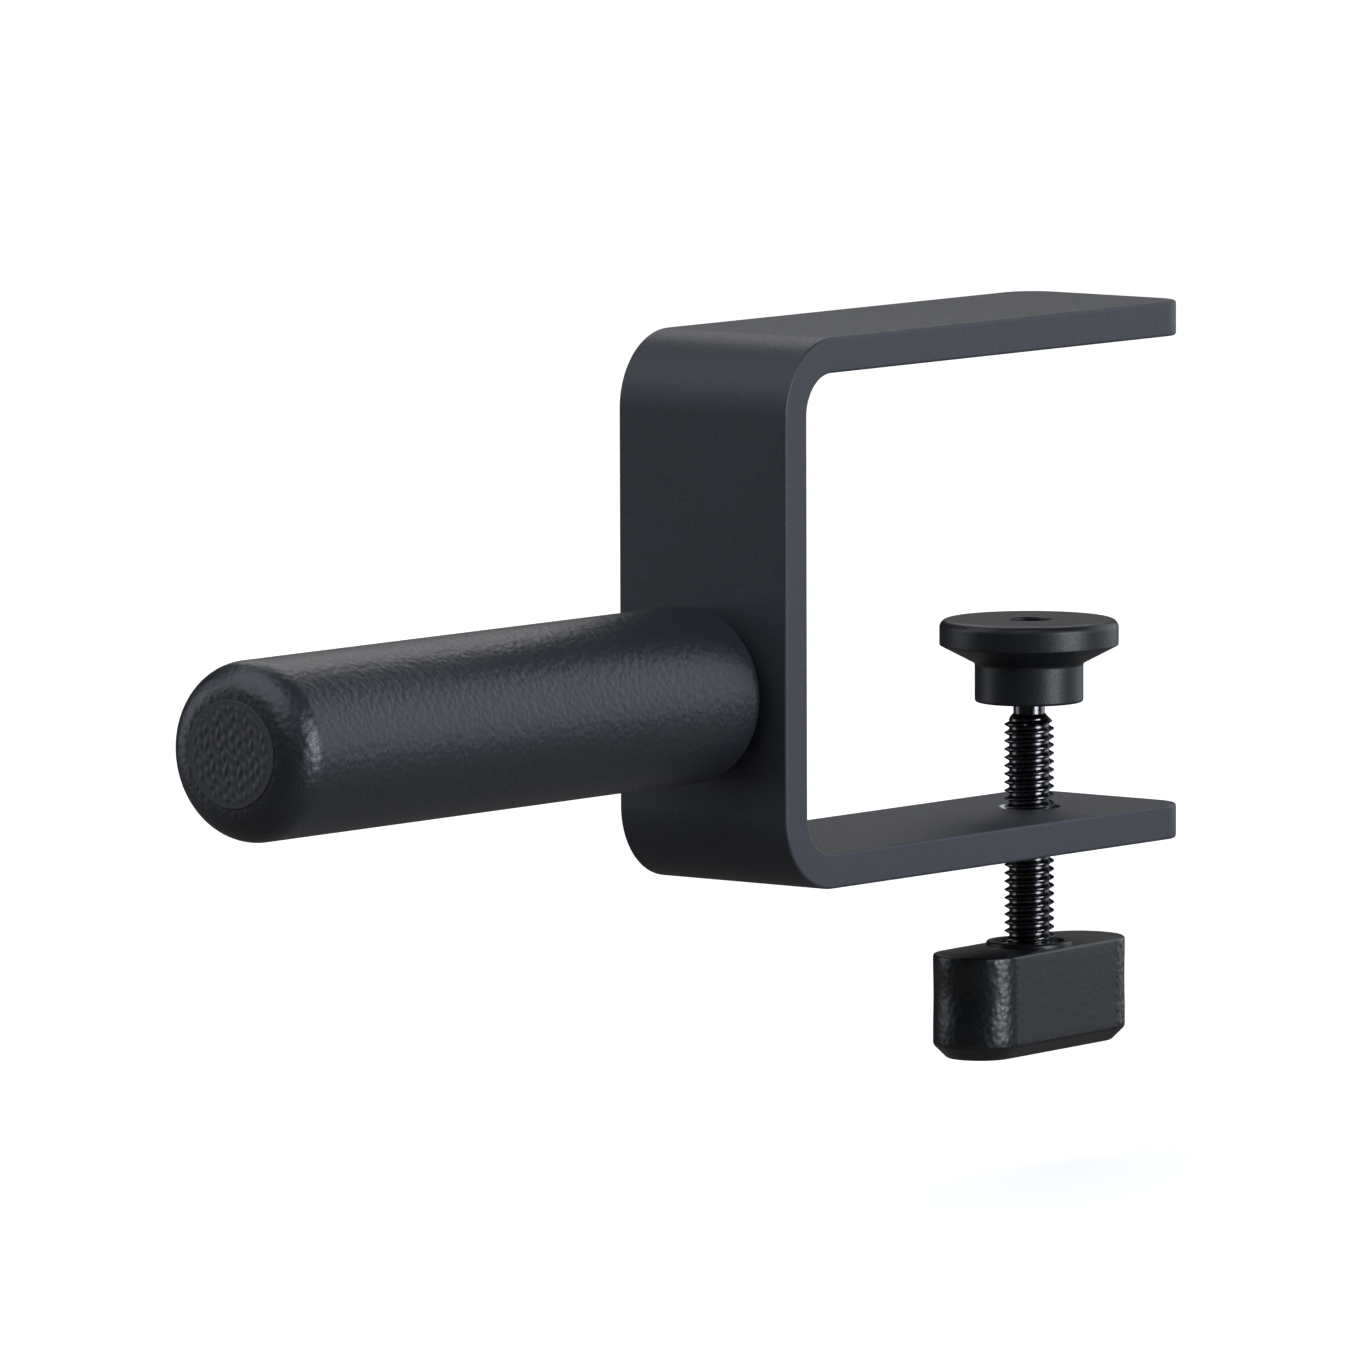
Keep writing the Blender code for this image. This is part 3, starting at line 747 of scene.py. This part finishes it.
class HOOK_OT_peg_screw(bpy.types.Operator):
    """Build the countersunk socket screw that holds the peg"""

    bl_idname = "hook.peg_screw"
    bl_label = "Peg screw"

    def execute(self, context):
        clamp = context.scene.hook_clamp
        radius = PEG_SCREW_HIGH.y
        reach = PEG_SCREW_HIGH.x - PEG_SCREW_LOW.x
        lip, tip_chamfer = 0.3 * MM, 0.6 * MM
        neck = radius - clamp.crest_radius + lip
        mouth, socket, socket_depth = 3.1 * MM, 2.3 * MM, 2.4 * MM
        steps, sides = 48, 6
        bm = turned(
            [
                (0.0, -reach),
                (clamp.root_radius, -reach),
                (clamp.crest_radius, -reach + tip_chamfer),
                (clamp.crest_radius, -neck),
                (radius, -lip),
                (radius, 0.0),
                (mouth, 0.0),
                (0.0, 0.0),
            ],
            rounds=[(5, 0.1 * MM, 3)],
            steps=steps,
        )
        top = [f for f in bm.faces if all(abs(v.co.z) < TINY for v in f.verts)]
        inner = [f for f in top if any(radius_of(v) < TINY for v in f.verts)]
        bmesh.ops.delete(bm, geom=inner, context="FACES")
        mouth_edges = ring_edges(bm, mouth, 0.0)
        hexagon = circle(bm, (0.0, 0.0, 0.0), socket, UP, sides)
        bmesh.ops.subdivide_edges(bm, edges=hexagon, cuts=steps // sides - 1)
        hexagon = [
            e for e in bm.edges if not e.link_faces and all(abs(v.co.z) < TINY for v in e.verts)
        ]
        # The two outlines share a plane, where a bridge can come out mirrored.
        bmesh.ops.triangle_fill(bm, use_beauty=True, edges=mouth_edges + hexagon, normal=UP)
        made = bmesh.ops.extrude_edge_only(bm, edges=hexagon)["geom"]
        floor = [v for v in made if isinstance(v, bmesh.types.BMVert)]
        bmesh.ops.translate(bm, vec=(0.0, 0.0, -socket_depth), verts=floor)
        bmesh.ops.contextual_create(bm, geom=[e for e in bm.edges if e.is_boundary])
        lay_along_x(bm, (PEG_SCREW_HIGH.x, 0.0, PEG_Z))
        steel = metal_finish("blackened_steel", (0.10, 0.10, 0.105), roughness=0.3)
        add_piece("peg_fixing_screw", bm, [steel], "frame", "peg_screw")
        return {"FINISHED"}


class HOOK_OT_clamp_rod(bpy.types.Operator):
    """Build the threaded rod with its neck and head"""

    bl_idname = "hook.clamp_rod"
    bl_label = "Clamp rod"

    def execute(self, context):
        clamp = context.scene.hook_clamp
        plain_neck, inside_knob, inside_pad = 1.4 * MM, 0.2 * MM, 1.1 * MM
        self.thread_top = PAD_LOW.z - plain_neck
        self.thread_bottom = KNOB_HIGH.z - inside_knob
        bm = self.thread(clamp)
        self.run_out(bm, clamp)
        self.cut(bm, self.thread_top, 1.0)
        self.cut(bm, self.thread_bottom, -1.0)
        head_bottom = PAD_LOW.z + inside_pad
        edge, step = 0.35 * MM, 0.02 * MM
        self.carry_on(
            bm,
            self.thread_top,
            [
                (clamp.neck_radius, self.thread_top + step),
                (clamp.neck_radius, head_bottom),
                (clamp.head_radius, head_bottom),
                (clamp.head_radius, SCREW_HIGH.z - edge),
                (clamp.head_radius - edge, SCREW_HIGH.z),
            ],
        )
        shank, taper = 2.6 * MM, 0.2 * MM
        self.carry_on(
            bm,
            self.thread_bottom,
            [
                (shank, self.thread_bottom - taper),
                (shank, SCREW_LOW.z + edge),
                (shank - edge, SCREW_LOW.z),
            ],
        )
        steel = metal_finish("black_thread", clamp.steel, roughness=0.2)
        add_piece("clamp_rod", bm, [steel], "screw", "clamp_screw")
        return {"FINISHED"}

    def thread(self, clamp):
        """A right-hand thread along Z, a little longer than the rod's at both ends."""
        steps, spare_turns = 56, 3
        turns = math.ceil((self.thread_top - self.thread_bottom) / clamp.pitch) + spare_turns
        start = self.thread_bottom - spare_turns / 2 * clamp.pitch
        root, crest = clamp.root_radius, clamp.crest_radius
        # One turn's outline, as radii and shares of the pitch.
        outline = (
            (root, 0.0),
            (root, 0.12),
            (crest, 0.44),
            (crest, 0.56),
            (root, 0.88),
            (root, 1.0),
        )
        bm = bmesh.new()
        verts = [
            bm.verts.new((radius, 0.0, start + share * clamp.pitch)) for radius, share in outline
        ]
        edges = [bm.edges.new(pair) for pair in zip(verts, verts[1:])]
        bmesh.ops.spin(
            bm,
            geom=verts + edges,
            cent=(0.0, 0.0, 0.0),
            axis=(0.0, 0.0, 1.0),
            dvec=(0.0, 0.0, clamp.pitch / steps),
            angle=2.0 * math.pi * turns,
            steps=turns * steps,
        )
        bmesh.ops.remove_doubles(bm, verts=bm.verts, dist=TINY)
        return bm

    def run_out(self, bm, clamp):
        """Draws the last turns in to the neck's radius, as a cone."""
        for vert in bm.verts:
            most = clamp.neck_radius + max(0.0, self.thread_top - vert.co.z)
            radius = radius_of(vert)
            if radius > most:
                vert.co.x *= most / radius
                vert.co.y *= most / radius

    def cut(self, bm, height, side):
        """Takes away what is above a height, or below it when side is negative."""
        bmesh.ops.bisect_plane(
            bm,
            geom=bm.verts[:] + bm.edges[:] + bm.faces[:],
            dist=TINY / 10,
            plane_co=(0.0, 0.0, height),
            plane_no=(0.0, 0.0, side),
            clear_outer=True,
        )

    def carry_on(self, bm, height, profile):
        """Draws the open end at a height out through (radius, height) points, and closes it."""
        rim = [
            e
            for e in bm.edges
            if e.is_boundary and all(abs(v.co.z - height) < TINY for v in e.verts)
        ]
        for radius, level in profile:
            made = bmesh.ops.extrude_edge_only(bm, edges=rim)["geom"]
            rim = [g for g in made if isinstance(g, bmesh.types.BMEdge)]
            for vert in [g for g in made if isinstance(g, bmesh.types.BMVert)]:
                factor = radius / radius_of(vert)
                vert.co = (vert.co.x * factor, vert.co.y * factor, level)
        bmesh.ops.contextual_create(bm, geom=rim)


class HOOK_OT_clamp_pad(bpy.types.Operator):
    """Build the swivelling pad that presses on the desk's underside"""

    bl_idname = "hook.clamp_pad"
    bl_label = "Clamp pad"

    def execute(self, context):
        clamp = context.scene.hook_clamp
        radius = PAD_HIGH.x
        rim_bottom = PAD_HIGH.z - clamp.pad_rim
        hole_depth, lip_height = 5.4 * MM, 0.8 * MM
        roof = PAD_HIGH.z - hole_depth
        lip, lip_top = 3.1 * MM, PAD_LOW.z + lip_height
        socket = 3.7 * MM
        bm = turned(
            [
                (clamp.pad_hole, roof),
                (clamp.pad_hole, PAD_HIGH.z),
                (radius, PAD_HIGH.z),
                (radius, rim_bottom),
                (clamp.pad_hub, rim_bottom - clamp.pad_cone),
                (clamp.pad_hub, PAD_LOW.z),
                (lip, PAD_LOW.z),
                (lip, lip_top),
                (socket, lip_top),
                (socket, roof),
            ],
            rounds=[
                (1, 0.3 * MM, 4),
                (2, clamp.pad_edge, 12),
                (3, 0.15 * MM, 3),
                (4, 0.25 * MM, 4),
                (5, 0.35 * MM, 6),
                (6, 0.2 * MM, 3),
            ],
            steps=160,
        )
        finish = grained_finish(
            "pad_plastic", clamp.plastic, roughness=0.41, grain=0.35 * MM, depth=0.020 * MM
        )
        add_piece("clamp_pad", bm, [finish], "pad", "pressure_pad")
        return {"FINISHED"}


class HOOK_OT_knob(bpy.types.Operator):
    """Build the oblong grip at the foot of the clamp screw"""

    bl_idname = "hook.knob"
    bl_label = "Knob"

    def execute(self, context):
        knob = context.scene.hook_knob
        boss_height, lower_rounding = 0.5 * MM, 0.25 * MM
        top = KNOB_HIGH.z - boss_height
        bottom = KNOB_LOW.z
        bm = bmesh.new()
        bmesh.ops.create_cube(bm, size=1.0)
        bmesh.ops.scale(bm, vec=(knob.length, knob.width, top - bottom), verts=bm.verts)
        bmesh.ops.translate(bm, vec=(0.0, 0.0, (top + bottom) / 2), verts=bm.verts)
        bevel(bm, upright_edges(bm), knob.width / 2 - HAIR, segments=24)
        # The hair of flat left at each end would hold the next bevels back.
        bmesh.ops.remove_doubles(bm, verts=bm.verts, dist=3 * HAIR)
        lower = [
            e for e in sharp_edges(bm, 60.0) if all(v.co.z < bottom + TINY for v in e.verts)
        ]
        bevel(bm, lower, knob.chamfer, segments=1)
        lower = [
            e
            for e in sharp_edges(bm, 30.0)
            if all(v.co.z < bottom + knob.chamfer + TINY for v in e.verts)
        ]
        bevel(bm, lower, lower_rounding, segments=3)
        upper = [e for e in sharp_edges(bm, 60.0) if all(v.co.z > top - TINY for v in e.verts)]
        bevel(bm, upper, knob.top_radius, segments=5)
        bmesh.ops.subdivide_edges(bm, edges=self.wall_edges(bm), cuts=14)
        self.hollow_ends(bm, knob, bottom, top)
        self.raise_boss(bm, knob, top, boss_height)
        turn = Matrix.Rotation(knob.turn, 3, "Z")
        bmesh.ops.rotate(bm, cent=(0.0, 0.0, 0.0), matrix=turn, verts=bm.verts)
        finish = grained_finish(
            "knob_plastic",
            knob.plastic,
            roughness=0.36,
            grain=0.30 * MM,
            depth=0.010 * MM,
            specular=0.6,
            pebble=0.05 * MM,
            smooth_to=knob.length / 2 - knob.width / 2,
        )
        add_piece("clamp_knob", bm, [finish], "screw", "knob")
        return {"FINISHED"}

    def wall_edges(self, bm):
        """The upright edges of the grip's wall, which are longer than those of its roundings."""
        shortest = 5.0 * MM
        return [e for e in upright_edges(bm) if e.calc_length() > shortest]

    def hollow_ends(self, bm, knob, bottom, top):
        """A shallow hollow for the fingertips across the upper part of each end."""
        plain_below, plain_above = 3.6 * MM, 0.8 * MM
        start, end = bottom + plain_below, top - plain_above
        straight = (knob.length - knob.width) / 2
        for vert in bm.verts:
            if not start < vert.co.z < end:
                continue
            out = abs(vert.co.x) - straight
            if out <= 0.0:
                continue
            share = (vert.co.z - start) / (end - start)
            reach = out / (knob.width / 2)
            depth = knob.scoop * math.sin(math.pi * share) ** 2 * reach**2
            vert.co.x -= math.copysign(depth, vert.co.x)

    def raise_boss(self, bm, knob, top, height):
        """The low boss round the screw, with the room for the bush in its middle."""
        gap, rounding = 0.3 * MM, 0.15 * MM
        room = INSERT_HIGH.y + gap
        rings = [
            circle(bm, (0.0, 0.0, level), radius, UP, steps=96)
            for radius, level in (
                (knob.boss_radius, top),
                (knob.boss_radius, top + height - rounding),
                (knob.boss_radius - rounding, top + height),
                (room, top + height),
                (room, INSERT_LOW.z - gap),
            )
        ]
        open_face(bm, flat_face(bm, UP, (0.0, 0.0, top)), rings[0])
        join_rings(bm, rings)
        bmesh.ops.contextual_create(bm, geom=rings[-1])


class HOOK_OT_small_parts(bpy.types.Operator):
    """Finish the strip, thrust washer, core and bush that keep their shape"""

    bl_idname = "hook.small_parts"
    bl_label = "Strip, thrust washer, core and bush"

    def execute(self, context):
        rubber = grained_finish(
            "grip_rubber", (0.028, 0.028, 0.031), roughness=0.7, grain=0.5 * MM, depth=0.05 * MM
        )
        bright = metal_finish("bright_steel", (0.56, 0.56, 0.57), roughness=0.28)
        core = metal_finish("core_aluminium", (0.72, 0.72, 0.74), roughness=0.36)
        for name, finish in (
            ("desk_pad", rubber),
            ("peg_core", core),
            ("thrust_washer", bright),
            ("knob_insert", bright),
        ):
            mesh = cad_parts[name].data
            mesh.materials.clear()
            mesh.materials.append(finish)
        return {"FINISHED"}


COOL, PLAIN = (0.93, 0.99, 1.08), (1.0, 1.0, 1.0)
# Each softbox: its setting, azimuth and elevation in degrees, width and height in metres, tint.
SOFTBOXES = (
    ("key", 6.0, 8.0, (0.46, 0.6), COOL),
    ("side", 75.0, 14.0, (0.9, 0.8), COOL),
    ("fill", 252.0, 54.0, (1.5, 1.1), COOL),
    ("edge", 207.0, 8.0, (0.5, 0.6), COOL),
    ("back", 128.5, 40.0, (0.6, 0.55), PLAIN),
)


def direction(azimuth, elevation):
    """The unit vector towards something that stands round the object and above the horizon."""
    flat = math.cos(elevation)
    return Vector((math.sin(azimuth) * flat, -math.cos(azimuth) * flat, math.sin(elevation)))


class HOOK_OT_stage(bpy.types.Operator):
    """Build the floor, the studio lights and the camera"""

    bl_idname = "hook.stage"
    bl_label = "Stage"

    def execute(self, context):
        stage = context.scene.hook_stage
        self.add_floor(context, stage)
        self.set_backdrop(context, stage)
        for setting, azimuth, elevation, size, tint in SOFTBOXES:
            watts = getattr(stage, setting)
            self.add_softbox(context, f"{setting}_light", azimuth, elevation, size, watts, tint)
        self.add_camera(context, stage)
        context.scene.view_settings.view_transform = "Standard"
        return {"FINISHED"}

    def add_floor(self, context, stage):
        """A pale floor that runs out to the backdrop's white."""
        near, far, near_glow, far_glow = 0.1, 1.2, 0.70, 1.0
        darker, lighter = 0.60, 0.64
        bm = bmesh.new()
        bmesh.ops.create_circle(bm, cap_ends=True, segments=96, radius=12.0)
        bmesh.ops.translate(bm, vec=(0.0, 0.0, KNOB_LOW.z - stage.floor_gap), verts=bm.verts)
        mesh = bpy.data.meshes.new("floor")
        bm.to_mesh(mesh)
        bm.free()
        paint = bpy.data.materials.new("floor_paint")
        paint.use_nodes = True
        tree = paint.node_tree
        shader = tree.nodes["Principled BSDF"]
        shader.inputs["Roughness"].default_value = 0.9
        shader.inputs["Specular IOR Level"].default_value = 0.0
        shader.inputs["Emission Color"].default_value = (*stage.backdrop, 1.0)
        place = add_node(tree, "ShaderNodeTexCoord").outputs["Object"]
        apart = add_node(tree, "ShaderNodeVectorMath", operation="LENGTH")
        tree.links.new(place, apart.inputs[0])
        glow = remap(tree, apart.outputs["Value"], near, far, near_glow, far_glow)
        tree.links.new(glow, shader.inputs["Emission Strength"])
        speckle = noise(tree, place, size=0.02, detail=3.0)
        dark, light = shade(stage.backdrop, darker), shade(stage.backdrop, lighter)
        tone = mix_colours(tree, speckle, dark, light)
        tree.links.new(tone, shader.inputs["Base Color"])
        mesh.materials.append(paint)
        floor = bpy.data.objects.new("floor", mesh)
        context.scene.collection.objects.link(floor)
        floor.visible_diffuse = False
        floor.visible_glossy = False
        floor.visible_shadow = False

    def set_backdrop(self, context, stage):
        """A white backdrop. What the pieces reflect is dim, and a little brighter below."""
        dim, bounced = (0.012, 0.013, 0.015, 1.0), (0.14, 0.14, 0.14, 1.0)
        world = bpy.data.worlds.new("studio")
        context.scene.world = world
        world.use_nodes = True
        tree = world.node_tree
        shader = tree.nodes["Background"]
        room = add_node(tree, "ShaderNodeTexCoord").outputs["Generated"]
        split = add_node(tree, "ShaderNodeSeparateXYZ")
        tree.links.new(room, split.inputs["Vector"])
        all_below, none_above = -0.35, -0.05
        below = remap(tree, split.outputs["Z"], all_below, none_above, 1.0, 0.0)
        around = mix_colours(tree, below, dim, bounced)
        straight = add_node(tree, "ShaderNodeLightPath").outputs["Is Camera Ray"]
        shown = mix_colours(tree, straight, around, (*stage.backdrop, 1.0))
        tree.links.new(shown, shader.inputs["Color"])
        shader.inputs["Strength"].default_value = 1.0

    def add_softbox(self, context, name, azimuth, elevation, size, watts, tint):
        """A rectangle of light a metre away that faces the object."""
        light = bpy.data.lights.new(name, "AREA")
        light.shape = "RECTANGLE"
        light.size, light.size_y = size
        light.energy = watts
        light.color = tint
        towards = direction(math.radians(azimuth), math.radians(elevation))
        lamp = bpy.data.objects.new(name, light)
        lamp.location = Vector(context.scene.hook_stage.aim) + towards
        lamp.rotation_euler = towards.to_track_quat("Z", "Y").to_euler()
        lamp.visible_camera = False
        context.scene.collection.objects.link(lamp)

    def add_camera(self, context, stage):
        """The camera, which looks at the aim from the azimuth and elevation that are set."""
        data = bpy.data.cameras.new("camera")
        data.lens = stage.lens
        data.sensor_width = 36.0
        data.clip_start, data.clip_end = 0.05, 50.0
        camera = bpy.data.objects.new("camera", data)
        back = direction(stage.azimuth, stage.elevation)
        look = back.to_track_quat("Z", "Y").to_matrix()
        camera.location = Vector(stage.aim) + stage.distance * back
        camera.rotation_euler = (look @ Matrix.Rotation(stage.roll, 3, "Z")).to_euler()
        context.scene.collection.objects.link(camera)
        context.scene.camera = camera


class HOOK_PT_panel(bpy.types.Panel):
    """Builds the hook piece by piece"""

    bl_idname = "HOOK_PT_panel"
    bl_label = "Headphone Hook"
    bl_space_type = "VIEW_3D"
    bl_region_type = "UI"
    bl_category = "Headphone Hook"

    def draw(self, context):
        for group in SETTINGS:
            box = self.layout.box()
            values = getattr(context.scene, group)
            for name in values.bl_rna.properties.keys():
                if name not in {"rna_type", "name"}:
                    box.prop(values, name)
        for operator in OPERATORS:
            self.layout.operator(operator.bl_idname)


SETTINGS = {
    "hook_bar": HookBarSettings,
    "hook_peg": HookPegSettings,
    "hook_clamp": HookClampSettings,
    "hook_knob": HookKnobSettings,
    "hook_stage": HookStageSettings,
}
OPERATORS = (
    HOOK_OT_bracket,
    HOOK_OT_peg_cover,
    HOOK_OT_peg_badge,
    HOOK_OT_peg_washer,
    HOOK_OT_peg_screw,
    HOOK_OT_clamp_rod,
    HOOK_OT_clamp_pad,
    HOOK_OT_knob,
    HOOK_OT_small_parts,
    HOOK_OT_stage,
)


def register():
    for name, group in SETTINGS.items():
        bpy.utils.register_class(group)
        setattr(bpy.types.Scene, name, PointerProperty(type=group))
    for operator in OPERATORS:
        bpy.utils.register_class(operator)
    bpy.utils.register_class(HOOK_PT_panel)


def unregister():
    bpy.utils.unregister_class(HOOK_PT_panel)
    for operator in reversed(OPERATORS):
        bpy.utils.unregister_class(operator)
    for name, group in SETTINGS.items():
        delattr(bpy.types.Scene, name)
        bpy.utils.unregister_class(group)


def main():
    register()
    for operator in OPERATORS:
        module, name = operator.bl_idname.split(".")
        getattr(getattr(bpy.ops, module), name)()


if __name__ == "__main__":
    main()
